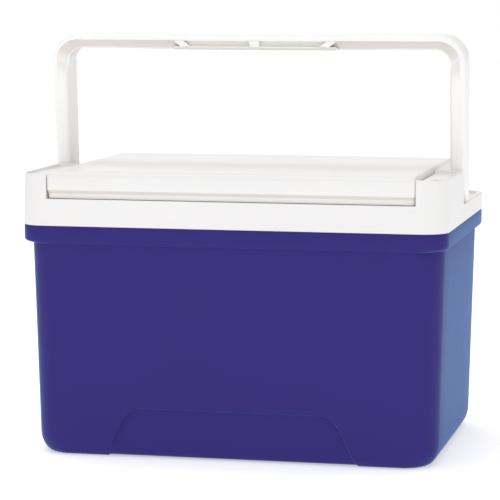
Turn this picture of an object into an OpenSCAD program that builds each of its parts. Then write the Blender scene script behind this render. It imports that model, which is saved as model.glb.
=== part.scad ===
// Small hard-sided cooler chest: an insulated tapered tub with a moulded collar,
// a lid hinged at the back and a bail handle that folds back onto the collar's ledge.
// Millimetres. X runs along the length, Y from front to back, Z up.
// The origin is under the middle of the chest, on the surface that it stands on.

/* [Overall] */
// Length of the collar, the longest part of the chest
chest_l = 351; // [345:1:360]
// Depth of the collar from front to back
chest_d = 240; // [236:1:250]
// Plan radius of the collar's corners
corner_r = 21; // [16:1:26]

/* [Tub] */
// Length of the tub at its base
base_l = 333; // [330:1:335]
// Depth of the tub at its base
base_d = 229; // [226:1:232]
// Length of the tub just under its rim
top_l = 342; // [338:1:343]
// Depth of the tub just under its rim
top_d = 236; // [233:1:237]
// Plan radius of the tub's corners
tub_r = 29; // [26:1:34]
// Height of the rim's top edge
rim_z = 190; // [186:1:194]
// Height of the rim band
rim_h = 15; // [12:1:18]
// Wall thickness of the outer shell
shell_t = 3; // [2.5:0.25:3.5]
// Depth of the channel under the base, between the two feet
foot_h = 1; // [0.5:0.25:2]
// Distance from the middle to the inner edge of each foot
foot_in = 103; // [98:1:104]

/* [Arch recess] */
// Depth of the shallow recess low on the front and back
arch_t = 3; // [1.5:0.25:3]
// Width of the recess at the floor
arch_w = 218; // [200:1:220]
// Height of the recess
arch_h = 42.5; // [38:0.5:45]
// How far each side of the recess leans in over its height
arch_lean = 24; // [16:1:30]

/* [Liner] */
// Length of the liner's mouth, inside
mouth_l = 278; // [270:1:280]
// Depth of the liner's mouth, inside
mouth_d = 184; // [176:1:184]
// How much narrower the liner's floor is, on each side
liner_draft = 6; // [4:1:10]
// Height of the liner's floor, inside
floor_z = 19; // [16:1:24]
// Wall thickness of the liner
liner_t = 2.2; // [2:0.1:2.6]

/* [Collar] */
// Height of the ledge that the folded handle lies over
ledge_z = 204.6; // [203:0.2:206]
// Height of the walls beside the lid
wall_z = 232.5; // [230:0.5:234]
// Height of the low wall under the lid's front lip
sill_z = 212; // [210:1:214]
// Depth of the shallow tray on top of each side wall
tray_h = 3; // [2:0.5:4]
// Thickness of the front wall
front_t = 6.5; // [5:0.5:8]
// Where the side walls end, just in front of the handle
wall_end_y = -13.5; // [-15:0.1:-13.5]

/* [Lid] */
// Length of the lid
lid_l = 299; // [294:1:299]
// Length of the lid's front lip
lip_l = 301; // [299:0.5:302]
// Front face of the lip
lip_y = -119; // [-119.5:0.5:-117]
// Back edge of the lid
lid_back_y = 97; // [94:0.5:97]
// Height of the lid's top
lid_z = 234.5; // [233:0.5:236]
// Wall thickness of the lid
lid_t = 2.5; // [2:0.25:3]
// Depth of the plug that closes the liner's mouth
plug_h = 13; // [8:1:16]

/* [Handle] */
// Height of the handle's pivot
pivot_z = 219; // [218:0.5:220]
// Distance of the pivot behind the middle
pivot_y = 1.6; // [1.4:0.1:2]
// From the pivot to the outside of the grip
handle_reach = 124.5; // [120:0.5:126]
// Thickness of the arms, across the chest
arm_t = 12.6; // [11:0.2:13]
// Width of the arms at the pivot, from front to back
arm_w = 27; // [24:0.5:27]
// Width of the grip, from front to back
grip_w = 32; // [28:1:34]
// Height of the grip bar
grip_h = 12.2; // [11:0.1:15]
// Radius of the handle's outer corners
handle_r = 20; // [16:1:24]
// How far the handle leans forward against the side walls
lean = 4.5; // [4:0.5:4.5]

/* [Hidden] */
$fn = 64;
eps = 0.01;
over = 1;                         // how far a cutting shape runs past what it cuts

shell_blue = [0.16, 0.13, 0.44];
moulded_white = [0.95, 0.95, 0.94];
foam_cream = [0.93, 0.88, 0.72];
pin_grey = [0.70, 0.71, 0.73];

seam = 0.3;                       // gap between mouldings that meet
band_inset = 0.4;                 // the rim sits this far inside the collar's outline
rim_r = corner_r - band_inset;
rim_low = rim_z - rim_h;
tub_draft = atan((top_d - base_d) / 2 / rim_low);   // lean of the front and back walls
base_edge_r = 17;                 // the tub's bottom edge is rounded by this much
base_edge_steps = 4;
base_inset = 11;                  // the flat base is this much smaller on each side
arch_sink = 9;                    // the recess starts this far under the floor, so that it cuts the base too
arch_reach = 30;                  // how far the block that cuts the recess stands out

foam_top = rim_z - 4.6;
liner_flange_t = 2.5;
liner_flange_w = 10;
liner_r = 20;

deck_z = 201.5;                   // channel floor of the collar
deck_t = 2.5;
ledge_rim = 4;                    // width of the raised edge around the channel
skirt_t = 3;
seat_w = 8;                       // raised seat around the mouth that the lid rests on
seat_z = 205;
lid_gap = 0.4;

boss_in = 152;                    // inner face of the pivot boss
boss_gap = 1.4;                   // between the boss and the arm beside it
boss_out = chest_l / 2 - arm_t - boss_gap;
boss_r = 11;
pivot_pin_r = 4;
pivot_pin_head_r = 7;
pivot_pin_head_t = 1.5;
pivot_depth = 8;                  // how deep the pin runs in the arm
running = 0.05;                   // radial clearance of the running fits

hinge_y = 102;
hinge_z = 228.5;
hinge_x = 90;                     // middle of each lid hinge
knuckle_l = 24;
knuckle_r = 3.8;
hinge_pin_r = 2;
lug_l = 6;
lug_gap = 0.5;
lug_foot_d = 12;                  // thickening at the bottom of each lug
lug_foot_h = 8;
knuckle_root = 1;                 // how far the knuckle reaches into the lid

lip_gap = 0.5;                    // under the lip
lip_side_gap = 0.6;               // beside the lip
lip_depth = 14;
lip_r = 3;
lip_low = sill_z + lip_gap;
tower_in = lip_l / 2 + lip_side_gap;   // inner face of the side walls
tray_rim = 2.5;                   // width of the edge around each tray
tower_t = 3;                      // wall thickness of the hollow side walls
skirt_y = -111.5;                 // front of the lid's lower skirt, behind the sill
skirt_low = seat_z + lid_gap;
pan_z = seat_z + lid_gap;
pan_t = 2.2;
plug_gap = 3.5;                   // room for the plug to swing clear of the mouth
rib_t = 1.8;
rib_h = 16;
rib_x = 90;                       // the ribs across the lid stand at this spacing
rib_y = 45;                       // the ribs along the lid, either side of the middle
pan_r = 2;

grip_low = handle_reach - grip_h;
slot_l = 57;
slot_h = 4;
slot_deep = 3;
slot_down = 8.6;                  // from the top of the grip to the bottom of the slots
slot_rib = 8;                     // rib between the two slots
grip_dip = 1.5;
grip_mid_l = 150;
grip_ramp = 8;                    // length over which the dip starts
channel_in = 82;                  // where the channels end, beside the slots
channel_t = 3;
channel_h = 7;

// ---- shared shapes ----

// Rectangle with round corners, centred
module rounded(l, d, r) {
    square([l - 2 * r, d], center = true);
    square([l, d - 2 * r], center = true);
    for (x = [-1, 1], y = [-1, 1])
        translate([x * (l / 2 - r), y * (d / 2 - r)]) circle(r);
}

// Closed ring between two rounded outlines
module rounded_ring(l, d, r, t) {
    difference() {
        rounded(l, d, r);
        rounded(l - 2 * t, d - 2 * t, max(r - t, 1));
    }
}

// Four thin corner posts that a hull joins into one level of a tapered tub
module level(z, l, d, r) {
    for (x = [-1, 1], y = [-1, 1])
        translate([x * (l / 2 - r), y * (d / 2 - r), z]) cylinder(r = r, h = eps, $fn = 48);
}

function tub_l(z) = base_l + (top_l - base_l) * z / rim_low;
function tub_d(z) = base_d + (top_d - base_d) * z / rim_low;

// The tub's outside between two heights, moved inwards by a wall, with its lower edge eased
module tub_solid(z0, z1, inset) {
    hull() {
        for (step = [0:base_edge_steps]) {
            turn = 90 * step / base_edge_steps;
            in = inset + base_inset * (1 - sin(turn));
            z = z0 + base_edge_r * (1 - cos(turn));
            level(z, tub_l(z) - 2 * in, tub_d(z) - 2 * in, tub_r - in);
        }
        level(z1 - eps, tub_l(z1) - 2 * inset, tub_d(z1) - 2 * inset, tub_r - inset);
    }
}

// The liner's tub, grown outwards by a wall
module liner_solid(z0, z1, grow) {
    hull() {
        level(z0, mouth_l - 2 * liner_draft + 2 * grow, mouth_d - 2 * liner_draft + 2 * grow, liner_r + grow);
        level(z1 - eps, mouth_l + 2 * grow, mouth_d + 2 * grow, liner_r + grow);
    }
}

// The arch recess, as the block that it takes out of the front and back walls
module arch_blocks(grow) {
    half = arch_w / 2 + grow;
    top = arch_h + grow;
    for (turn = [0, 180])
        rotate([0, 0, turn])
            translate([0, -base_d / 2 + arch_t + grow, 0])
                rotate([90 + tub_draft, 0, 0])
                    linear_extrude(arch_reach)
                        polygon([[-half, -arch_sink], [half, -arch_sink],
                                 [half - arch_lean, top], [arch_lean - half, top]]);
}

// ---- tub ----

module outer_shell() {
    color(shell_blue) {
        difference() {
            tub_solid(0, rim_low + 2 * over, 0);
            arch_blocks(0);
            base_channel();
            difference() {
                tub_solid(foot_h + shell_t, rim_low + 3 * over, shell_t);
                arch_blocks(shell_t);
            }
        }
        rim_band();
    }
}

module rim_band() {
    l = chest_l - 2 * band_inset;
    d = chest_d - 2 * band_inset;
    inner_l = tub_l(rim_z) - 2 * shell_t;
    inner_d = tub_d(rim_z) - 2 * shell_t;
    difference() {
        translate([0, 0, rim_low]) linear_extrude(rim_h) rounded(l, d, rim_r);
        translate([0, 0, rim_low - over])
            linear_extrude(rim_h + 2 * over) rounded(inner_l, inner_d, tub_r - shell_t);
    }
}

// Shallow channel under the base, from front to back, that leaves a foot at each end
module base_channel() {
    translate([-foot_in, -chest_d / 2, foot_h - chest_d])
        cube([2 * foot_in, chest_d, chest_d]);
}

module insulation_foam() {
    color(foam_cream)
        difference() {
            tub_solid(foot_h + shell_t + seam, foam_top, shell_t + seam);
            arch_blocks(shell_t + seam);
            liner_solid(floor_z - liner_t - seam, foam_top + over, liner_t + seam);
        }
}

module liner() {
    color(moulded_white) {
        difference() {
            liner_solid(floor_z - liner_t, rim_z - seam, liner_t);
            liner_solid(floor_z, rim_z + over, 0);
        }
        translate([0, 0, foam_top + seam])
            linear_extrude(liner_flange_t)
                rounded_ring(mouth_l + 2 * liner_flange_w, mouth_d + 2 * liner_flange_w,
                             liner_r + liner_flange_w, liner_flange_w - liner_t / 2);
    }
}

// ---- collar ----

module collar() {
    color(moulded_white) {
        difference() {
            union() {
                collar_deck();
                front_sill();
                towers(0, rim_z, wall_z);
                for (s = [-1, 1]) pivot_boss(s);
            }
            towers(tower_t, rim_z - over, wall_z - tray_h - tower_t);
            trays();
            for (s = [-1, 1]) pivot_bore(s);
        }
        hinge_lugs();
    }
}

// Deck with its skirt, the raised edge of the ledge and the seat around the mouth
module collar_deck() {
    translate([0, 0, rim_z]) linear_extrude(deck_z - rim_z) rounded_ring(chest_l, chest_d, corner_r, skirt_t);
    translate([0, 0, deck_z - deck_t])
        linear_extrude(deck_t) difference() {
            rounded(chest_l, chest_d, corner_r);
            rounded(mouth_l, mouth_d, liner_r);
        }
    translate([0, 0, deck_z - eps])
        linear_extrude(ledge_z - deck_z) rounded_ring(chest_l, chest_d, corner_r, ledge_rim);
    translate([0, 0, rim_z])
        linear_extrude(seat_z - rim_z) difference() {
            rounded(mouth_l + 2 * seat_w, mouth_d + 2 * seat_w, liner_r + seat_w);
            rounded(mouth_l, mouth_d, liner_r);
        }
}

// Low wall under the lid's front lip
module front_sill() {
    translate([0, 0, deck_z - eps])
        linear_extrude(sill_z - deck_z)
            intersection() {
                rounded_ring(chest_l, chest_d, corner_r, front_t);
                translate([-chest_l / 2, -chest_d / 2]) square([chest_l, corner_r]);
            }
}

// The broad walls either side of the lid, drawn in on every side by an inset
module towers(inset, low, high) {
    length = wall_end_y + chest_d / 2 - 2 * inset;
    translate([0, 0, low])
        linear_extrude(high - low)
            intersection() {
                rounded(chest_l - 2 * inset, chest_d - 2 * inset, corner_r - inset);
                for (s = [-1, 1])
                    translate([s > 0 ? tower_in + inset : -chest_l, inset - chest_d / 2])
                        square([chest_l - tower_in - inset, length]);
            }
}

// Shallow trays in the tops of the side walls, open towards the lid
module trays() {
    translate([0, 0, wall_z - tray_h])
        linear_extrude(tray_h + over)
            intersection() {
                rounded(chest_l - 2 * tray_rim, chest_d - 2 * tray_rim, corner_r - tray_rim);
                for (s = [-1, 1])
                    translate([s > 0 ? tower_in - over : -chest_l, tray_rim - chest_d / 2])
                        square([chest_l - tower_in + over, wall_end_y + chest_d / 2 - 2 * tray_rim]);
            }
}

module pivot_boss(s) {
    w = boss_out - boss_in;
    x = s > 0 ? boss_in : -boss_out;
    translate([x, pivot_y, pivot_z]) rotate([0, 90, 0]) cylinder(r = boss_r, h = w);
    translate([x, pivot_y - boss_r, deck_z - eps]) cube([w, 2 * boss_r, pivot_z - deck_z]);
}

module pivot_bore(s) {
    x = s > 0 ? boss_in - over : -boss_out - over;
    translate([x, pivot_y, pivot_z])
        rotate([0, 90, 0]) cylinder(r = pivot_pin_r, h = boss_out - boss_in + 2 * over);
}

// Two lugs stand on either side of each lid knuckle
module hinge_lugs() {
    span = knuckle_l / 2 + lug_gap;
    for (s = [-1, 1], side = [-1, 1])
        difference() {
            x = s * hinge_x + (side > 0 ? span : -span - lug_l);
            union() {
                translate([x, hinge_y, hinge_z]) rotate([0, 90, 0]) cylinder(r = knuckle_r, h = lug_l);
                translate([x, hinge_y - knuckle_r, deck_z - eps])
                    cube([lug_l, 2 * knuckle_r, hinge_z - deck_z]);
                translate([x, hinge_y - knuckle_r, deck_z - eps]) cube([lug_l, lug_foot_d, lug_foot_h]);
            }
            translate([x - over, hinge_y, hinge_z])
                rotate([0, 90, 0]) cylinder(r = hinge_pin_r, h = lug_l + 2 * over);
        }
}

// ---- pins ----

// Headed pin, pushed outwards through the boss and into the arm
module pivot_pin(s) {
    end = chest_l / 2 - arm_t + pivot_depth;
    color(pin_grey)
        translate([s * boss_in, pivot_y, pivot_z])
            rotate([0, s * 90, 0]) {
                cylinder(r = pivot_pin_r, h = end - boss_in);
                translate([0, 0, -pivot_pin_head_t]) cylinder(r = pivot_pin_head_r, h = pivot_pin_head_t);
            }
}

module pivot_pin_left() { pivot_pin(-1); }

module pivot_pin_right() { pivot_pin(1); }

module hinge_pin(s) {
    half = knuckle_l / 2 + lug_gap + lug_l;
    color(pin_grey)
        translate([s * hinge_x - half, hinge_y, hinge_z])
            rotate([0, 90, 0]) cylinder(r = hinge_pin_r, h = 2 * half);
}

module hinge_pin_left() { hinge_pin(-1); }

module hinge_pin_right() { hinge_pin(1); }

// ---- lid ----

// Lid outline between two Y limits
module lid_outline(l, y0, y1, r) {
    translate([0, (y0 + y1) / 2]) rounded(l, y1 - y0, r);
}

module lid_top() {
    edge_r = 5;
    color(moulded_white)
        difference() {
            union() {
                translate([0, 0, lip_low])
                    linear_extrude(lid_z - lip_low) {
                        lid_outline(lid_l, lip_y, lid_back_y, edge_r);
                        lid_outline(lip_l, lip_y, lip_y + lip_depth, lip_r);
                    }
                translate([0, 0, skirt_low])
                    linear_extrude(lip_low - skirt_low + eps) lid_outline(lid_l, skirt_y, lid_back_y, edge_r);
                lid_knuckles();
            }
            translate([0, 0, skirt_low - over])
                linear_extrude(lid_z - lid_t - skirt_low + over)
                    lid_outline(lid_l - 2 * lid_t, skirt_y + lid_t, lid_back_y - lid_t, edge_r - lid_t);
            for (s = [-1, 1])
                translate([s * hinge_x - knuckle_l, hinge_y, hinge_z])
                    rotate([0, 90, 0]) cylinder(r = hinge_pin_r + running, h = 2 * knuckle_l);
        }
}

module lid_knuckles() {
    for (s = [-1, 1])
        translate([s * hinge_x - knuckle_l / 2, hinge_y, hinge_z]) {
            rotate([0, 90, 0]) cylinder(r = knuckle_r, h = knuckle_l);
            translate([0, lid_back_y - hinge_y - knuckle_root, -knuckle_r])
                cube([knuckle_l, hinge_y - lid_back_y + knuckle_root, 2 * knuckle_r]);
        }
}

// Inner lid: a flange inside the lid's skirt, a hollow plug and stiffening ribs on top
module lid_pan() {
    clear = lid_t + seam;
    plug_l = mouth_l - 2 * plug_gap;
    plug_d = mouth_d - 2 * plug_gap;
    plug_top = pan_z + pan_t;
    color(moulded_white) {
        difference() {
            union() {
                translate([0, 0, pan_z])
                    linear_extrude(pan_t)
                        lid_outline(lid_l - 2 * clear, skirt_y + clear, lid_back_y - clear, pan_r);
                translate([0, 0, pan_z - plug_h])
                    linear_extrude(plug_h + eps) rounded(plug_l, plug_d, liner_r - plug_gap);
            }
            translate([0, 0, pan_z - plug_h + pan_t])
                linear_extrude(plug_h + pan_t)
                    rounded(plug_l - 2 * pan_t, plug_d - 2 * pan_t, liner_r - plug_gap - pan_t);
        }
        lid_ribs(plug_l, plug_d, plug_top);
    }
}

// Ribs stand in the plug and reach up under the lid's top
module lid_ribs(plug_l, plug_d, plug_top) {
    rib_top = plug_top + rib_h;
    rib_low = pan_z - plug_h + pan_t - eps;
    for (x = [-rib_x, 0, rib_x])
        translate([x - rib_t / 2, -plug_d / 2 + pan_t - eps, rib_low])
            cube([rib_t, plug_d - 2 * pan_t + 2 * eps, rib_top - rib_low]);
    for (y = [-rib_y, rib_y])
        translate([-plug_l / 2 + pan_t - eps, y - rib_t / 2, rib_low])
            cube([plug_l - 2 * pan_t + 2 * eps, rib_t, rib_top - rib_low]);
}

// ---- handle ----

// The bail's outline, seen from the front, with the pivot at the origin's height
module bail_outline() {
    half = chest_l / 2;
    difference() {
        arch_outline(half, handle_reach, handle_r);
        translate([0, -over]) arch_outline(half - arm_t, grip_low + over, handle_r - arm_t);
        grip_dip_outline();
    }
}

// Upright arch with round top corners and square feet
module arch_outline(half, top, r) {
    translate([-half, 0]) square([2 * half, top - r]);
    translate([r - half, 0]) square([2 * (half - r), top]);
    for (s = [-1, 1])
        translate([s * (half - r), top - r]) circle(r);
}

// The grip's top dips slightly over its middle
module grip_dip_outline() {
    half = grip_mid_l / 2;
    low = handle_reach - grip_dip;
    top = handle_reach + over;
    polygon([[-half - grip_ramp, top], [-half, low], [half, low], [half + grip_ramp, top]]);
}

// The arms' outline, seen from the side: round at the pivot, wider towards the grip
module arm_side_outline() {
    top = handle_reach + over;
    circle(arm_w / 2);
    polygon([[-arm_w / 2, 0], [arm_w / 2, 0], [grip_w / 2, top], [-grip_w / 2, top]]);
}

module handle() {
    color(moulded_white)
        translate([0, pivot_y, pivot_z])
            rotate([lean, 0, 0])
                difference() {
                    handle_solid();
                    grip_slots();
                    grip_channels();
                    for (s = [-1, 1])
                        translate([s * (chest_l / 2 - arm_t - over), 0, 0])
                            rotate([0, s * 90, 0])
                                cylinder(r = pivot_pin_r + running, h = pivot_depth + over + lid_gap);
                }
}

module handle_solid() {
    intersection() {
        rotate([90, 0, 0])
            translate([0, -arm_w / 2, -grip_w / 2]) linear_extrude(grip_w) tall_bail_outline();
        rotate([90, 0, 90])
            translate([0, 0, -chest_l / 2]) linear_extrude(chest_l) arm_side_outline();
    }
}

// The bail's outline with its arms run down to the bottom of their round ends
module tall_bail_outline() {
    half = chest_l / 2;
    translate([0, arm_w / 2]) bail_outline();
    for (x = [-half, half - arm_t])
        translate([x, 0]) square([arm_t, arm_w / 2 + over]);
}

// Two long slots in the middle of the grip's front face
module grip_slots() {
    for (s = [-1, 1])
        translate([s * (slot_l + slot_rib) / 2 - slot_l / 2, -grip_w / 2 - over, handle_reach - slot_down])
            cube([slot_l, slot_deep + over, slot_h]);
}

// Shallow step along the lower front of the grip, on both sides of the slots
module grip_channels() {
    outer = chest_l / 2 - handle_r;
    for (s = [-1, 1])
        translate([s > 0 ? channel_in : -outer, -grip_w / 2 - over, grip_low - over])
            cube([outer - channel_in, channel_t + over, channel_h + over]);
}

outer_shell();
insulation_foam();
liner();
collar();
pivot_pin_left();
pivot_pin_right();
hinge_pin_left();
hinge_pin_right();
lid_top();
lid_pan();
handle();
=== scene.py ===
"""Looks for a small cooler chest: a blue tub, a white collar, a hinged lid and a bail handle.

The frame is the CAD's: X along the length, Y from front to back, Z up, the origin on the floor.
Mesh code works in millimetres, like the CAD, and MM turns it into metres.
"""
import math

import bmesh
import bpy
from mathutils import Matrix, Vector


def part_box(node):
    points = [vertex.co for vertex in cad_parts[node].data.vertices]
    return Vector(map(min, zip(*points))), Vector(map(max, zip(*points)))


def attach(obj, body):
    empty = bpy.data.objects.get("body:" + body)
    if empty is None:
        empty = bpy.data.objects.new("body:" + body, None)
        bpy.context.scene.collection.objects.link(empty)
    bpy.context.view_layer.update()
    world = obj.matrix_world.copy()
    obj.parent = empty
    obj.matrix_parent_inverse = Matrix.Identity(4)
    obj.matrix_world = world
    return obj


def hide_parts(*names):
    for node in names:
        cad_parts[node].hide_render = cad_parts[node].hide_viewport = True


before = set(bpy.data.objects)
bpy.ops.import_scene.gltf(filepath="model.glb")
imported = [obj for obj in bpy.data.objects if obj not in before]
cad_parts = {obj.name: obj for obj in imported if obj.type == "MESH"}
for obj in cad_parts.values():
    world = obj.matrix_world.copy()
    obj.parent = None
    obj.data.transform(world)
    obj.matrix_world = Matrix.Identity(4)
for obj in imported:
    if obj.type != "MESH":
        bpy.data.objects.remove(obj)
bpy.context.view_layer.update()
MM = 0.001


def box_mm(node):
    """Lowest and highest corner of a CAD node, in millimetres."""
    low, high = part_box(node)
    return [value / MM for value in low], [value / MM for value in high]


# ---- sizes, in millimetres ----

SHELL_HIGH = box_mm("outer_shell")[1]
COLLAR_LOW, COLLAR_HIGH = box_mm("collar")
LINER_LOW, LINER_HIGH = box_mm("liner")
LID_LOW, LID_HIGH = box_mm("lid_top")
PIN_LOW, PIN_HIGH = box_mm("pivot_pin_right")
HINGE_LOW, HINGE_HIGH = box_mm("hinge_pin_right")

# Tub: half sizes at the base and just under the rim
TUB_BASE = (166.7, 114.5)
TUB_TOP = (171.0, 116.8)
TUB_R = 29.0
TUB_BOW = 0.2
WALL = 3.0
RIM_Z = SHELL_HIGH[2]
RIM_LOW = RIM_Z - 15.0
RIM_R = 20.6
RIM_ROUND = 4.0
CHANNEL_H = 0.8
INNER_LOW = 4.0
BASE_INSET = 11.0
BASE_ROUND = 17.0

# Arch recess low on the front and back
ARCH_T = 3.0
ARCH_BASE_T = 1.6  # where it runs out into the base
ARCH_HALF = 109.0
ARCH_TOP = 42.5
ARCH_LEAN = 24.0
ARCH_SINK = 9.0
ARCH_ROUND = 13.0
ARCH_RAMP = 2.0

# Liner: half sizes of its mouth, draft from mouth to floor, wall, corner and flange
MOUTH = (139.0, 92.0)
LINER_DRAFT = 6.0
LINER_T = 2.2
LINER_R = 20.0
LINER_FLANGE = 10.0
FLANGE_SET = 1.5  # from the liner's top to its flange
FLANGE_T = 2.5
LINER_EDGE = 0.6
FLOOR_ROUND = 12.0

# Lid
LID_HALF = 149.5
LID_FRONT, LID_BACK = LID_LOW[1], 97.0
LID_TOP = LID_HIGH[2]
LID_R = 3.0
LID_T = 2.5
SILL_Z = 212.0
LIP_LOW = 212.3
LIP_CREASE = 216.6
LIP_CHAMFER = 2.4
LIP_SET_BACK = 2.2
LIP_HALF = 150.9
LIP_EAR = LIP_HALF - LID_HALF
LIP_EAR_Y = -105.0
LID_ROUND = 4.5
LIP_EAR_RAMP = 1.2
SIDE_SHARE = 0.45  # the lid's top edge is rounded less along its sides
SKIRT_Y = -111.5
SKIRT_EDGE = 0.4
SKIRT_STEP = 0.6  # from the skirt to the underside of the lip

# Shallow field in the lid's top: its front edge falls back by FIELD_BOW at FIELD_CORNER
FIELD_FRONT = -93.0
FIELD_BACK = 84.0
FIELD_HALF = 139.0
FIELD_BOW = 48.0
FIELD_BOW_POWER = 2.4
FIELD_CORNER = 140.0
FIELD_DEEP = 1.1
FIELD_RAMP = 7.0
FIELD_SIDE = 0.9
LID_CROWN = 0.5
FIELD_MARGIN = 5.5  # from the lid's outline to the grid of its top

# Hinge knuckles
KNUCKLE_HALF = 12.0
KNUCKLE_R = 3.8
KNUCKLE_BORE = 2.05
KNUCKLE_EDGE = 0.4

# Handle, in its own upright frame with the pivot at the origin
PIVOT = Vector((0.0, (PIN_LOW[1] + PIN_HIGH[1]) / 2, (PIN_LOW[2] + PIN_HIGH[2]) / 2))
LEAN = 4.5
REACH = 124.5
ARM_T = 12.6
GRIP_H = 12.2
ARM_HALF_W = 13.5
GRIP_HALF_W = 16.0
BEND_R = 22.0
INNER_R = 13.0
EDGE_R = 3.0
GRIP_DIP = 1.5
GRIP_MID = 75.0
PIN_BORE_R = 4.05

ARC = 10  # steps in a quarter turn of a plan corner


# ---- mesh helpers ----


def smoothstep(value):
    """0 below 0, 1 above 1, smooth in between."""
    value = min(max(value, 0.0), 1.0)
    return value * value * (3 - 2 * value)


def mix(a, b, share):
    """The point that share of the way from a to b."""
    return tuple(p + (q - p) * share for p, q in zip(a, b))


def mix_rings(ring_a, ring_b, share, z):
    """A ring between two others of the same point count, at height z."""
    return [(*mix(a[:2], b[:2], share), z) for a, b in zip(ring_a, ring_b)]


def ring(half_x, y_front, y_back, radius, z, cuts_x=(), cuts_y=()):
    """Rounded rectangle at height z, anticlockwise from above, starting at the front left corner.

    cuts_x are extra points on the front and back, cuts_y on the two sides.
    """
    radius = max(radius, 0.0)
    corners = [
        (-half_x + radius, y_front + radius, 180),
        (half_x - radius, y_front + radius, 270),
        (half_x - radius, y_back - radius, 0),
        (-half_x + radius, y_back - radius, 90),
    ]
    sides = [
        [(x, y_front, z) for x in cuts_x],
        [(half_x, y, z) for y in cuts_y],
        [(x, y_back, z) for x in reversed(cuts_x)],
        [(-half_x, y, z) for y in reversed(cuts_y)],
    ]
    points = []
    for (x, y, start), side in zip(corners, sides):
        for step in range(ARC + 1):
            angle = math.radians(start + 90 * step / ARC)
            points.append((x + radius * math.cos(angle), y + radius * math.sin(angle), z))
        points.extend(side)
    return points


def loft(bm, rings, first_cap=True, last_cap=True):
    """Joins rings of the same point count with quads, and closes the ends."""
    rows = [[bm.verts.new(Vector(point) * MM) for point in points] for points in rings]
    for low, high in zip(rows, rows[1:]):
        for i, start in enumerate(low):
            j = (i + 1) % len(low)
            bm.faces.new((start, low[j], high[j], high[i]))
    if first_cap:
        bm.faces.new(rows[0][::-1])
    if last_cap:
        bm.faces.new(rows[-1])
    return rows


def to_object(bm, name, sharp=35):
    """Cleans a bmesh and turns it into an object, smooth except across edges over sharp degrees."""
    bmesh.ops.remove_doubles(bm, verts=bm.verts, dist=1e-6)
    bmesh.ops.dissolve_degenerate(bm, edges=bm.edges, dist=1e-7)
    bmesh.ops.recalc_face_normals(bm, faces=bm.faces)
    mesh = bpy.data.meshes.new(name)
    bm.to_mesh(mesh)
    bm.free()
    mesh.shade_smooth()
    mesh.set_sharp_from_angle(angle=math.radians(sharp))
    obj = bpy.data.objects.new(name, mesh)
    bpy.context.scene.collection.objects.link(obj)
    return obj


def node_mesh(node):
    """A bmesh copy of a CAD node in the row frame, with its flat faces whole again."""
    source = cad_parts[node]
    bm = bmesh.new()
    bm.from_mesh(source.data)
    bm.transform(source.matrix_world)
    bmesh.ops.remove_doubles(bm, verts=bm.verts, dist=2e-6)
    bmesh.ops.dissolve_degenerate(bm, edges=bm.edges, dist=1e-6)
    bmesh.ops.dissolve_limit(bm, angle_limit=math.radians(0.8), verts=bm.verts, edges=bm.edges)
    return bm


def rounded_copy(node, name, width, weight_of, segments=3):
    """A copy of a CAD node with rounded edges. weight_of(middle, convex) scales the width, in mm."""
    bm = node_mesh(node)
    layer = bm.edges.layers.float.new("bevel_weight_edge")
    for edge in bm.edges:
        if len(edge.link_faces) == 2 and edge.calc_face_angle(0) > math.radians(25):
            middle = (edge.verts[0].co + edge.verts[1].co) / 2 / MM
            edge[layer] = weight_of(middle, edge.is_convex)
    obj = to_object(bm, name, 30)
    bevel = obj.modifiers.new("rounding", "BEVEL")
    bevel.limit_method = "WEIGHT"
    bevel.width = width * MM
    bevel.segments = segments
    bevel.use_clamp_overlap = False
    bevel.harden_normals = True
    bevel.miter_outer = "MITER_ARC"
    return obj


# ---- tub ----


def tub_half(z):
    """Half sizes of the drafted tub at height z."""
    share = z / RIM_LOW
    return [base + (top - base) * share for base, top in zip(TUB_BASE, TUB_TOP)]


def arch_half(z, grow):
    """Half width of the arch recess at height z: leaning sides and rounded top corners."""
    top = ARCH_TOP + grow
    z = min(z, top)
    leaning = ARCH_HALF + grow - ARCH_LEAN * (z + ARCH_SINK) / (top + ARCH_SINK)
    into = max(z - top + ARCH_ROUND, 0) / ARCH_ROUND
    return leaning - ARCH_ROUND * (1 - math.sqrt(1 - into * into))


TUB_CUTS_Y = (-0.66, -0.33, 0, 0.33, 0.66)


def tub_cuts_x(z, wall, straight):
    """X places of the columns on the front and back, lined up with the arch recess."""
    edge = arch_half(z, wall)
    ramp = [edge - ARCH_RAMP * step / 4 for step in range(5)]
    inner = [ramp[-1] * share for share in (0.75, 0.5, 0.25, 0)]
    outer = [edge + (straight - edge) * share for share in (0.75, 0.5, 0.25)]
    right = outer + ramp + inner
    return [-x for x in right] + right[-2::-1]


def tub_ring(z, inset=0.0, wall=0.0):
    """The tub's outline at height z: bowed sides, and the arch recess where it is that low.

    inset is the rounding of the base, wall the distance inside the outer face.
    """
    half_x, half_y = [half - inset - wall for half in tub_half(z)]
    radius = TUB_R - inset - wall
    edge = arch_half(z, wall)
    straight_y = half_y - radius
    cuts_x = tub_cuts_x(z, wall, half_x - radius)
    cuts_y = [straight_y * share for share in TUB_CUTS_Y]
    points = []
    for x, y, _ in ring(half_x, -half_y, half_y, radius, z, cuts_x, cuts_y):
        along_x = min(abs(x) / (half_x - radius), 1) ** 2
        along_y = min(abs(y) / straight_y, 1) ** 2
        x *= 1 - TUB_BOW * along_y / half_x
        y *= 1 - TUB_BOW * along_x / half_y
        side = smoothstep((edge - abs(x)) / ARCH_RAMP)
        top = smoothstep((ARCH_TOP + wall - z) / ARCH_RAMP)
        share = min(side, top) if abs(y) > straight_y else 0
        if wall:
            y = math.copysign(min(abs(y), tub_half(z)[1] - wall - ARCH_T * share), y)
        else:
            depth = ARCH_BASE_T + (ARCH_T - ARCH_BASE_T) * smoothstep(z / BASE_ROUND)
            y -= math.copysign(depth * share, y)
        lift = CHANNEL_H * side * inset / BASE_INSET if not wall else 0
        points.append((x, y, z + lift))
    return points


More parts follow.
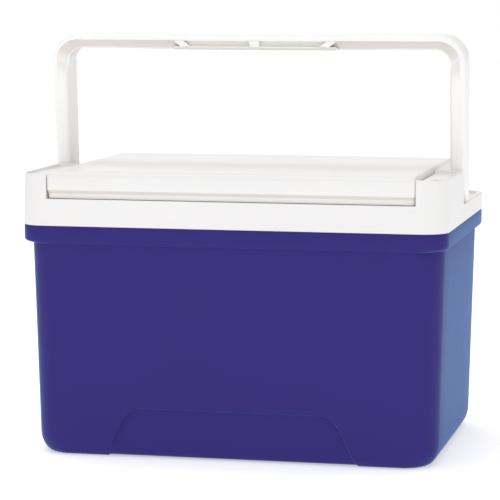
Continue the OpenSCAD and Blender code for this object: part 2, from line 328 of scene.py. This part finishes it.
def tub_levels(wall):
    """Rings from the base up to the rim's underside."""
    rings = []
    for step in range(11):
        turn = math.radians(9 * step)
        z = (INNER_LOW if wall else 0) + BASE_ROUND * (1 - math.cos(turn))
        rings.append(tub_ring(z, BASE_INSET * (1 - math.sin(turn)), wall))
    low = BASE_ROUND + (INNER_LOW if wall else 0)
    top = ARCH_TOP + wall
    heights = [low + (top - ARCH_ROUND - low) * share for share in (0.5, 1)]
    heights += [top - ARCH_ROUND * (1 - math.sin(math.radians(turn))) for turn in (10, 20, 30, 40, 50, 60)]
    heights += [top - ARCH_RAMP * share for share in (0.5, 0.25, 0.1, 0)]
    heights += [top + (RIM_LOW - top) * share for share in (0.02, 0.12, 0.3, 0.5, 0.7, 0.88, 1)]
    return rings + [tub_ring(z, 0, wall) for z in heights]


def rim_ring(z, inset=0.0):
    """The rim band's outline at height z, with the same points as the tub's rings."""
    half_x, half_y = SHELL_HIGH[0] - inset, SHELL_HIGH[1] - inset
    cuts_x = tub_cuts_x(RIM_LOW, 0, half_x - RIM_R)
    cuts_y = [(half_y - RIM_R) * share for share in TUB_CUTS_Y]
    return ring(half_x, -half_y, half_y, RIM_R - inset, z, cuts_x, cuts_y)


def make_shell():
    """The tub with its rim band, as one closed skin with an outer and an inner face."""
    bm = bmesh.new()
    outer = tub_levels(0)
    tub_edge = outer[-1]
    rim_edge = rim_ring(RIM_LOW)
    under_rim = []
    for step in range(1, 8):
        turn = math.radians(90 * step / 7)
        z = RIM_LOW + RIM_ROUND * (1 - math.cos(turn))
        under_rim.append(mix_rings(tub_edge, rim_edge, math.sin(turn), z))
    top = [rim_ring(RIM_Z - 0.7), rim_ring(RIM_Z - 0.2, 0.2), rim_ring(RIM_Z, 0.7)]
    inner = tub_levels(WALL)[::-1]
    inner_top = [(x, y, RIM_Z) for x, y, _ in inner[0]]
    rows = loft(bm, outer + under_rim + top + [inner_top] + inner, first_cap=False)
    close_base(bm, rows[0])
    return to_object(bm, "tub_shell", 32)


def close_base(bm, row):
    """The underside: a flat foot at each end, and the shallow channel between them."""
    cuts_x = len(tub_cuts_x(0, 0, 1))
    front = ARC + 1
    right = front + cuts_x
    back = right + len(TUB_CUTS_Y) + 2 * (ARC + 1)
    left = back + cuts_x
    for i in range(cuts_x - 1):
        a, b = front + i, left - 1 - i
        bm.faces.new((row[a], row[b], row[b - 1], row[a + 1]))
    bm.faces.new(row[right - 1:back + 1][::-1])
    bm.faces.new((row[left - 1:] + row[:front + 1])[::-1])


# ---- liner ----


def liner_ring(z, grow, inset=0.0):
    """The liner's outline at height z, grown outwards by its wall and drawn in by a rounding."""
    floor = LINER_LOW[2]
    share = (z - floor) / (LINER_HIGH[2] - floor)
    change = grow - inset - LINER_DRAFT * (1 - share)
    half_x, half_y = MOUTH[0] + change, MOUTH[1] + change
    return ring(half_x, -half_y, half_y, LINER_R + grow - inset * 0.6, z, (-90, -45, 0, 45, 90), (-40, 0, 40))


def make_liner():
    """The food tub: rounded floor, drafted walls, and a flange under a standing lip."""
    bm = bmesh.new()
    low, high = LINER_LOW[2], LINER_HIGH[2]
    flange_top = high - FLANGE_SET
    flange_low = flange_top - FLANGE_T
    edge = LINER_EDGE

    def floor_rings(z0, grow, radius):
        turns = [math.radians(15 * step) for step in range(7)]
        return [
            liner_ring(z0 + radius * (1 - math.cos(turn)), grow, radius * (1 - math.sin(turn)))
            for turn in turns
        ]

    outer = floor_rings(low, LINER_T, FLOOR_ROUND + LINER_T)
    outer += [liner_ring(flange_low, LINER_T), liner_ring(flange_low, LINER_FLANGE - edge)]
    outer += [liner_ring(flange_low + edge, LINER_FLANGE), liner_ring(flange_top - edge, LINER_FLANGE)]
    outer += [liner_ring(flange_top, LINER_FLANGE - edge), liner_ring(flange_top, LINER_T)]
    lip = [liner_ring(high - edge, LINER_T), liner_ring(high, LINER_T - edge), liner_ring(high, edge)]
    inner = [liner_ring(high - edge, 0)] + floor_rings(low + LINER_T, 0, FLOOR_ROUND)[::-1]
    loft(bm, outer + lip + inner)
    return to_object(bm, "liner_tub", 40)


# ---- collar ----

COLLAR_TAPER = 1.2
TOWER_IN = 151.1


def collar_weight(middle, convex):
    """How much each edge of the collar is rounded: most along the outer tops of the walls."""
    bore = abs(middle.x) < 164 and Vector((0, middle.y - PIVOT.y, middle.z - PIVOT.z)).length < 5
    hinge = middle.y > 97 and middle.z > 206
    beside_lid = abs(middle.x) < TOWER_IN + 1
    sill = abs(middle.z - SILL_Z) < 0.5
    if bore or hinge or beside_lid or sill:
        return 0.15
    if middle.z < COLLAR_LOW[2] + 0.5:
        return 0.3
    if middle.z > COLLAR_HIGH[2] - 4:
        return 0.55
    return 0.5 if convex else 0.3


def make_collar():
    """The collar from the CAD with rounded edges, its walls drawn in slightly towards the top."""
    obj = rounded_copy("collar", "collar_moulding", 2.2, collar_weight, 4)
    base, top = COLLAR_LOW[2] * MM, COLLAR_HIGH[2] * MM
    limit = (COLLAR_HIGH[0] - 11) * MM
    for vertex in obj.data.vertices:
        share = max(0.0, (vertex.co.z - base) / (top - base)) * COLLAR_TAPER * MM
        if abs(vertex.co.x) > limit:
            vertex.co.x -= math.copysign(share, vertex.co.x)
        if vertex.co.y < -(COLLAR_HIGH[1] - 8) * MM:
            vertex.co.y += share
    return obj


# ---- lid ----


def lid_ring(z, front, inset=0.0, ear=0.0, radius=LID_R):
    """The lid's outline at height z. ear is how far the front lip stands out at both ends."""
    cuts_y = [LIP_EAR_Y - LIP_EAR_RAMP, LIP_EAR_Y - LIP_EAR_RAMP / 2, LIP_EAR_Y, -60, 0, 60]
    cuts_x = [LID_HALF * share for share in (-0.75, -0.5, -0.25, 0, 0.25, 0.5, 0.75)]
    points = []
    half_x = LID_HALF - inset * SIDE_SHARE
    for x, y, _ in ring(half_x, front + inset, LID_BACK - inset, radius - inset, z, cuts_x, cuts_y):
        if abs(x) > LID_HALF - 12:
            x += math.copysign(ear * smoothstep((LIP_EAR_Y - y) / LIP_EAR_RAMP), x)
        points.append((x, y, z))
    return points


def lid_height(x, y):
    """Height of the lid's top: a shallow field whose front edge bows towards the lip."""
    front = FIELD_FRONT + FIELD_BOW * abs(x / FIELD_CORNER) ** FIELD_BOW_POWER
    inside = min(y - front, FIELD_BACK - y, (FIELD_HALF - abs(x)) * FIELD_SIDE)
    crown = LID_CROWN * (1 - (x / LID_HALF) ** 2)
    return LID_TOP - LID_CROWN + crown - FIELD_DEEP * smoothstep(inside / FIELD_RAMP)


def lip_profile():
    """The lip from its underside to its face, as (height, front edge, how far its ends stand out)."""
    strip_y = LID_FRONT + LIP_SET_BACK
    strip_ear = LIP_EAR - 0.5
    crease_top = LIP_CREASE + LIP_CHAMFER
    return [
        (LIP_LOW, SKIRT_Y - SKIRT_STEP, 0),
        (LIP_LOW, strip_y + 0.4, strip_ear - 0.4),
        (LIP_LOW + 0.12, strip_y + 0.12, strip_ear - 0.12),
        (LIP_LOW + 0.4, strip_y, strip_ear),
        (LIP_CREASE - 0.5, strip_y, strip_ear),
        (LIP_CREASE, strip_y - 0.15, strip_ear),
        (crease_top - 0.3, LID_FRONT + 0.35, LIP_EAR - 0.3),
        (crease_top + 0.2, LID_FRONT + 0.08, LIP_EAR - 0.05),
        (crease_top + 0.8, LID_FRONT, LIP_EAR),
    ]


def make_lid():
    """The lid's cover: inside and skirt, the front lip, the rounded top edge, the field and knuckles."""
    bm = bmesh.new()
    low, ceiling, edge = LID_LOW[2], LID_TOP - LID_T, SKIRT_EDGE
    inside = [lid_ring(ceiling, SKIRT_Y, LID_T + 3, radius=LID_T + 3.5)]
    inside += [lid_ring(z, SKIRT_Y, LID_T) for z in (ceiling - 3, low + edge)]
    skirt = [lid_ring(low, SKIRT_Y, LID_T - edge), lid_ring(low, SKIRT_Y, edge)]
    skirt += [lid_ring(low + edge, SKIRT_Y), lid_ring(LIP_LOW - SKIRT_STEP, SKIRT_Y)]
    lip = [lid_ring(z, front, ear=ear) for z, front, ear in lip_profile()]
    top = []
    for step in range(8):
        turn = math.radians(90 * step / 7)
        inset = LID_ROUND * (1 - math.cos(turn))
        z = LID_TOP - LID_CROWN - LID_ROUND * (1 - math.sin(turn))
        top.append(lid_ring(z, LID_FRONT, inset, LIP_EAR))
    rows = loft(bm, inside + skirt + lip + top, last_cap=False)
    fill_lid_top(bm, rows[-1])
    add_knuckles(bm)
    return to_object(bm, "lid_cover", 32)


def fill_lid_top(bm, edge):
    """A fine grid for the field, joined to the lid's rounded edge."""
    columns, rows = 96, 72
    x0, x1 = -LID_HALF + FIELD_MARGIN, LID_HALF - FIELD_MARGIN
    y0, y1 = LID_FRONT + FIELD_MARGIN, LID_BACK - FIELD_MARGIN
    grid = []
    for j in range(rows + 1):
        y = y0 + (y1 - y0) * j / rows
        line = []
        for i in range(columns + 1):
            x = x0 + (x1 - x0) * i / columns
            line.append(bm.verts.new(Vector((x, y, lid_height(x, y))) * MM))
        grid.append(line)
    for j in range(rows):
        for i in range(columns):
            bm.faces.new((grid[j][i], grid[j][i + 1], grid[j + 1][i + 1], grid[j + 1][i]))
    border = grid[0][:]
    border += [line[-1] for line in grid[1:]]
    border += grid[-1][-2::-1]
    border += [line[0] for line in grid[-2:0:-1]]
    outer_edges = [e for e in {bm.edges.get((a, b)) for a, b in zip(edge, edge[1:] + edge[:1])} if e]
    inner_edges = [bm.edges.get((a, b)) for a, b in zip(border, border[1:] + border[:1])]
    bmesh.ops.bridge_loops(bm, edges=outer_edges + inner_edges)


def add_knuckles(bm):
    """The two hinge knuckles behind the lid: round, with a square root and a bore for the pin."""
    y = (HINGE_LOW[1] + HINGE_HIGH[1]) / 2
    z = (HINGE_LOW[2] + HINGE_HIGH[2]) / 2
    middle = (HINGE_LOW[0] + HINGE_HIGH[0]) / 2
    half, radius, bore = KNUCKLE_HALF, KNUCKLE_R, KNUCKLE_BORE
    root = y - LID_BACK + 1
    count = 48
    edge = KNUCKLE_EDGE
    for side in (-1, 1):

        def outline(x, r, reach):
            points = []
            for i in range(count):
                angle = 2 * math.pi * i / count
                c, s = math.cos(angle), math.sin(angle)
                size = r if c >= 0 or reach is None else min(r / max(abs(s), 1e-6), reach / abs(c))
                points.append((side * middle + x, y + size * c, z + size * s))
            return points

        rings = [outline(-half, bore + edge, None), outline(-half, radius - edge, root)]
        rings += [outline(-half + edge, radius, root), outline(half - edge, radius, root)]
        rings += [outline(half, radius - edge, root), outline(half, bore + edge, None)]
        rings += [outline(half - edge, bore, None), outline(-half + edge, bore, None)]
        loft(bm, rings + rings[:1], False, False)


def pan_weight(middle, convex):
    """The plug's lower edge is rounded most, the ribs least."""
    return 1.0 if middle.z < LID_LOW[2] - 2 and convex else 0.3


# ---- handle ----

SLOT_TOP, SLOT_LOW = 4.4, 9.4  # below the ends of the grip's top
SLOT_DEEP = 4.5
REBATE_STEP = 0.8
REBATE_DEEP = 7.0
REBATE_LIFT = 0.7  # the grip is this much thinner where the rebate runs
REBATE_EDGE_R = 0.7
SLOT_INNER = 4.0
SLOT_OUTER = 61.0
REBATE_START = 69.0
SLANT = 1.2  # how far the slot's and rebate's ends lean, per mm of height


def handle_stations():
    """Stations along the right half of the bail, from the arm's foot to the middle of the grip.

    Each is (outer point, inner point, rebate share, slot share, slant), points as (x, z).
    """
    half = COLLAR_HIGH[0]
    inner_x = half - ARM_T
    stations = []
    for step in range(1, 13):
        z = -ARM_HALF_W * math.cos(math.radians(90 * step / 12))
        stations.append(((half, z), (inner_x, z), 0, 0, 0))
    fade_z = 90.0
    for z in (15, 30, 45, 60, 75, 85, fade_z):
        stations.append(((half, z), (inner_x, z), 0, 0, 0))
    outer_centre = (half - BEND_R, REACH - BEND_R)
    grip_low = REACH - GRIP_H + REBATE_LIFT
    inner_centre = (inner_x - INNER_R, grip_low - INNER_R)
    for step in range(1, 5):
        outer_z, inner_z = [fade_z + (end - fade_z) * step / 4 for end in (outer_centre[1], inner_centre[1])]
        stations.append(((half, outer_z), (inner_x, inner_z), smoothstep(step / 4), 0, 0))
    for step in range(1, 17):
        angle = math.radians(90 * step / 16)
        outer = (outer_centre[0] + BEND_R * math.cos(angle), outer_centre[1] + BEND_R * math.sin(angle))
        inner = (inner_centre[0] + INNER_R * math.cos(angle), inner_centre[1] + INNER_R * math.sin(angle))
        stations.append((outer, inner, 1, 0, 0))
    # along the grip: (x, rebate share, slot share, slant)
    plan = [(x, 1, 0, 0) for x in (146, 138, 130, 120, 110, 100, 90)]
    plan += [(GRIP_MID + 8, 1, 0, 0.6), (REBATE_START + 6, 1, 0, 0.9), (REBATE_START + 0.8, 1, 0, 1)]
    plan += [(REBATE_START + 0.4, 0.5, 0, 1), (REBATE_START, 0, 0, 1), (SLOT_OUTER + 3, 0, 0, 1)]
    plan += [(SLOT_OUTER + 0.4, 0, 0, 1), (SLOT_OUTER, 0, 0.03, 1), (SLOT_OUTER, 0, 1, 1)]
    plan += [(x, 0, 1, 0) for x in (48, 38, 28, 18, 10)]
    plan += [(SLOT_INNER, 0, 1, 0), (SLOT_INNER, 0, 0.03, 0), (SLOT_INNER - 0.4, 0, 0, 0), (0, 0, 0, 0)]
    for x, rebate, slot, slant in plan:
        top = REACH - GRIP_DIP * smoothstep((GRIP_MID + 8 - x) / 16)
        low = REACH - GRIP_H + REBATE_LIFT * smoothstep((x - REBATE_START) / 55)
        stations.append(((x, top), (x, low), rebate, slot, slant))
    return stations


def handle_section(station):
    """One closed cross-section of the bail, from the outer front edge round by the inner side."""
    outer, inner, rebate, slot, slant = station
    thick = math.dist(outer, inner)
    high = (outer[1] + inner[1]) / 2
    if high < 0:
        half_w = math.sqrt(max(ARM_HALF_W ** 2 - high ** 2, 0.8 ** 2))
    else:
        half_w = ARM_HALF_W + (GRIP_HALF_W - ARM_HALF_W) * high / REACH
    edge_r = min(EDGE_R, half_w * 0.9)
    deep_rebate = REBATE_DEEP * rebate
    deep_slot = SLOT_DEEP * slot
    lip = 0.35

    def at(depth, y, lean=0.0):
        x, z = mix(outer, inner, depth / thick)
        return (x + lean, y, z)

    def corner(depth, y, start, radius):
        points = []
        for step in range(5):
            angle = math.radians(start + 90 * step / 4)
            points.append(at(depth + radius * math.cos(angle), y + radius * math.sin(angle)))
        return points

    front = -half_w
    inner_front = front + deep_rebate
    inner_r = edge_r + (min(REBATE_EDGE_R, edge_r) - edge_r) * rebate
    dip = REACH - outer[1] if outer[0] < GRIP_MID + 10 else 0.0
    high_edge = SLOT_TOP - dip
    low_edge = SLOT_LOW - dip if slot or not rebate else thick - inner_r - 0.2
    shift = [slant * SLANT * (high_edge - depth) for depth in (high_edge, low_edge)]
    features = [
        at(high_edge - lip, front, shift[0]),
        at(high_edge, front + min(lip, deep_rebate + deep_slot), shift[0]),
        at(high_edge + 0.1, front + REBATE_STEP * rebate + deep_slot, shift[0]),
        at(low_edge - 0.1, front + deep_rebate + deep_slot, shift[1]),
        at(low_edge, inner_front + min(lip, deep_slot), shift[1]),
        at(low_edge + (lip if slot else 0.1), inner_front, shift[1]),
    ]
    section = corner(edge_r, front + edge_r, 180, edge_r)
    section += features
    section += corner(thick - inner_r, inner_front + inner_r, 270, inner_r)
    section += corner(thick - edge_r, half_w - edge_r, 0, edge_r)
    section += corner(edge_r, half_w - edge_r, 90, edge_r)
    return section


def make_handle():
    """The bail, lofted from foot to foot, leant forward on its pivot and bored for the pins."""
    bm = bmesh.new()
    right = [handle_section(station) for station in handle_stations()]
    left = [[(-x, y, z) for x, y, z in section] for section in right[-2::-1]]
    loft(bm, right + left)
    tilt = Matrix.Rotation(math.radians(LEAN), 4, "X")
    bm.transform(Matrix.Translation(PIVOT * MM) @ tilt)
    obj = to_object(bm, "bail_handle", 38)
    cut_bores(obj)
    return obj


def cut_bores(handle):
    """Blind bores for the pivot pins, in the arms' inner faces."""
    bm = bmesh.new()
    radius, count = PIN_BORE_R, 48
    for side in (-1, 1):
        rings = []
        for x in (COLLAR_HIGH[0] - ARM_T - 2, PIN_HIGH[0] + 0.4):
            rings.append([
                (
                    side * x,
                    PIVOT.y + radius * math.cos(2 * math.pi * i / count),
                    PIVOT.z + radius * math.sin(2 * math.pi * i / count),
                )
                for i in range(count)
            ])
        loft(bm, rings)
    cutter = to_object(bm, "bore_cutter")
    modifier = handle.modifiers.new("bores", "BOOLEAN")
    modifier.object = cutter
    modifier.operation = "DIFFERENCE"
    modifier.solver = "EXACT"
    bpy.context.view_layer.objects.active = handle
    bpy.context.view_layer.update()
    shape = bpy.data.meshes.new_from_object(handle.evaluated_get(bpy.context.evaluated_depsgraph_get()))
    handle.modifiers.clear()
    handle.data = shape
    bpy.data.objects.remove(cutter)


# ---- materials ----


def plastic(name, color, roughness, grain, bump, gloss=0.5, sheen=None, under=None):
    """Moulded plastic: slight colour drift, uneven gloss and a fine grained surface.

    sheen is its weight, roughness and tint. under is the painted shade, as a share of the colour, on
    faces that look down.
    """
    material = bpy.data.materials.new(name)
    material.use_nodes = True
    nodes, links = material.node_tree.nodes, material.node_tree.links
    shader = nodes["Principled BSDF"]
    shader.inputs["Specular IOR Level"].default_value = gloss
    if sheen:
        weight, rough, tint = sheen
        shader.inputs["Sheen Weight"].default_value = weight
        shader.inputs["Sheen Roughness"].default_value = rough
        shader.inputs["Sheen Tint"].default_value = (*tint, 1)
    place = nodes.new("ShaderNodeTexCoord")

    def noise(scale, detail):
        node = nodes.new("ShaderNodeTexNoise")
        node.inputs["Scale"].default_value = scale
        node.inputs["Detail"].default_value = detail
        links.new(place.outputs["Object"], node.inputs["Vector"])
        return node

    drift = noise(9, 3)
    ramp = nodes.new("ShaderNodeValToRGB")
    ramp.color_ramp.elements[0].color = (*[channel * 0.965 for channel in color], 1)
    ramp.color_ramp.elements[1].color = (*[min(channel * 1.035, 1) for channel in color], 1)
    links.new(drift.outputs["Fac"], ramp.inputs["Fac"])
    tone = ramp.outputs["Color"]
    # painted shade on faces that look down
    if under:
        tone = paint_underside_shade(material, place, tone, under)
    links.new(tone, shader.inputs["Base Color"])

    cloud = noise(35, 4)
    spread = nodes.new("ShaderNodeMapRange")
    spread.inputs["To Min"].default_value = roughness - 0.05
    spread.inputs["To Max"].default_value = roughness + 0.05
    links.new(cloud.outputs["Fac"], spread.inputs["Value"])
    links.new(spread.outputs["Result"], shader.inputs["Roughness"])

    fine = noise(grain, 2)
    bump_node = nodes.new("ShaderNodeBump")
    bump_node.inputs["Strength"].default_value = bump
    bump_node.inputs["Distance"].default_value = 0.0001
    links.new(fine.outputs["Fac"], bump_node.inputs["Height"])
    links.new(bump_node.outputs["Normal"], shader.inputs["Normal"])
    return material


def paint_underside_shade(material, place, tone, under):
    """Multiplies a colour by under where the surface looks down: painted warm shade on the undersides."""
    nodes, links = material.node_tree.nodes, material.node_tree.links
    split = nodes.new("ShaderNodeSeparateXYZ")
    links.new(place.outputs["Normal"], split.inputs["Vector"])
    down = nodes.new("ShaderNodeMapRange")
    down.interpolation_type = "SMOOTHSTEP"
    down.inputs["From Min"].default_value = -0.12
    down.inputs["From Max"].default_value = -0.5
    links.new(split.outputs["Z"], down.inputs["Value"])
    blend = nodes.new("ShaderNodeMix")
    blend.data_type = "RGBA"
    blend.blend_type = "MULTIPLY"
    factor, first, second = [blend.inputs[index] for index in (0, 6, 7)]
    links.new(down.outputs["Result"], factor)
    links.new(tone, first)
    second.default_value = (*under, 1)
    return blend.outputs[2]


def foam():
    """Rigid foam: cream, rough, with small open cells."""
    material = plastic("foam", (0.80, 0.70, 0.44), 0.85, 700, 0.9, 0.2)
    nodes, links = material.node_tree.nodes, material.node_tree.links
    cells = nodes.new("ShaderNodeTexVoronoi")
    cells.inputs["Scale"].default_value = 450
    links.new(nodes["Texture Coordinate"].outputs["Object"], cells.inputs["Vector"])
    bump = nodes["Bump"]
    bump.inputs["Distance"].default_value = 0.0005
    links.new(cells.outputs["Distance"], bump.inputs["Height"])
    return material


# painted warm shade, multiplied into the whites on faces that look down
PAINTED_UNDERSIDE_SHADE = (0.80, 0.765, 0.72)
AZURE_SHEEN = (0.58, 0.3, (0.22, 0.57, 1.0))
SHELL_BLUE = plastic("shell_blue", (0.040, 0.029, 0.188), 0.5, 900, 0.35, 0.05, AZURE_SHEEN)
MOULDED_WHITE = plastic("moulded_white", (0.845, 0.835, 0.83), 0.38, 1100, 0.2, 0.4, under=PAINTED_UNDERSIDE_SHADE)
HANDLE_WHITE = plastic("handle_white", (0.93, 0.925, 0.915), 0.36, 1100, 0.15, 0.3, under=PAINTED_UNDERSIDE_SHADE)
LINER_WHITE = plastic("liner_white", (0.86, 0.875, 0.88), 0.24, 600, 0.12, 0.5)
PIN_GREY = plastic("pin_grey", (0.55, 0.56, 0.60), 0.28, 1500, 0.15, 0.5)
FOAM_CREAM = foam()


# ---- pieces ----


def place(obj, body, material, slot, node):
    """Gives a finished piece its material and body, and hides the CAD node it stands for; slot is not used.
    """
    obj.data.materials.clear()
    obj.data.materials.append(material)
    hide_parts(node)
    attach(obj, body)


place(make_shell(), "chest", SHELL_BLUE, "shell_blue", "outer_shell")
place(make_liner(), "chest", LINER_WHITE, "liner_white", "liner")
place(make_collar(), "chest", MOULDED_WHITE, "moulded_white", "collar")
place(make_lid(), "lid", MOULDED_WHITE, "moulded_white", "lid_top")
place(rounded_copy("lid_pan", "lid_inner_pan", 2.0, pan_weight), "lid", LINER_WHITE, "liner_white", "lid_pan")
place(make_handle(), "bail", HANDLE_WHITE, "handle_white", "handle")
for pin in ("pivot_pin_left", "pivot_pin_right", "hinge_pin_left", "hinge_pin_right"):
    copy = rounded_copy(pin, pin + "_rounded", 0.4, lambda middle, convex: 1.0 if convex else 0.4)
    place(copy, "chest", PIN_GREY, "pin_grey", pin)

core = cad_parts["insulation_foam"]
for material_slot in core.material_slots:
    material_slot.material = FOAM_CREAM


# ---- floor, light and camera ----


FLOOR_GAP = 0.0001  # keeps the floor just clear of the feet


def make_floor():
    """A wide pale floor."""
    bm = bmesh.new()
    reach, count = 60.0, 64
    bmesh.ops.create_circle(bm, cap_ends=True, radius=reach, segments=count)
    bmesh.ops.translate(bm, verts=bm.verts, vec=(0, 0, -FLOOR_GAP))
    floor = to_object(bm, "floor")
    material = bpy.data.materials.new("pale_floor")
    material.use_nodes = True
    shader = material.node_tree.nodes["Principled BSDF"]
    shader.inputs["Base Color"].default_value = (0.9, 0.9, 0.9, 1)
    shader.inputs["Roughness"].default_value = 0.8
    shader.inputs["Specular IOR Level"].default_value = 0.1
    shader.inputs["Emission Color"].default_value = (1, 1, 1, 1)
    shader.inputs["Emission Strength"].default_value = 0.45
    floor.data.materials.append(material)


def soft_panel(name, place_at, aim, size, power, color=(1, 1, 1)):
    """A square softbox at place_at that faces aim."""
    light = bpy.data.lights.new(name, "AREA")
    light.size = size
    light.energy = power
    light.color = color
    obj = bpy.data.objects.new(name, light)
    obj.location = place_at
    obj.rotation_euler = (Vector(aim) - Vector(place_at)).to_track_quat("-Z", "Y").to_euler()
    bpy.context.scene.collection.objects.link(obj)


def make_light():
    """An even white surround with four softboxes."""
    world = bpy.data.worlds.new("studio")
    world.use_nodes = True
    background = world.node_tree.nodes["Background"]
    background.inputs["Color"].default_value = (1, 1, 1, 1)
    background.inputs["Strength"].default_value = 0.62
    bpy.context.scene.world = world
    middle = (0, 0, 0.15)
    soft_panel("front_panel", (0.3, -2.6, 1.5), middle, 1.8, 13)
    soft_panel("top_panel", (-0.3, 0.2, 2.4), middle, 1.6, 18)
    soft_panel("back_panel", (-0.9, 2.6, 0.8), middle, 1.8, 5)
    soft_panel("right_panel", (2.2, 0.3, 0.9), middle, 1.4, 1.5)


def make_camera():
    """The photograph's viewing angle, from the front and slightly right and above."""
    camera = bpy.data.cameras.new("camera")
    camera.sensor_width = 36
    camera.lens = 167.83
    camera.shift_x = -0.0408
    camera.shift_y = 0.0554
    camera.clip_end = 200
    obj = bpy.data.objects.new("camera", camera)
    obj.location = (0.432, -1.9146, 0.3893)
    obj.rotation_euler = (math.radians(82.67), 0, math.radians(12.47))
    bpy.context.scene.collection.objects.link(obj)
    bpy.context.scene.camera = obj


make_floor()
make_light()
make_camera()
bpy.context.scene.view_settings.view_transform = "Standard"
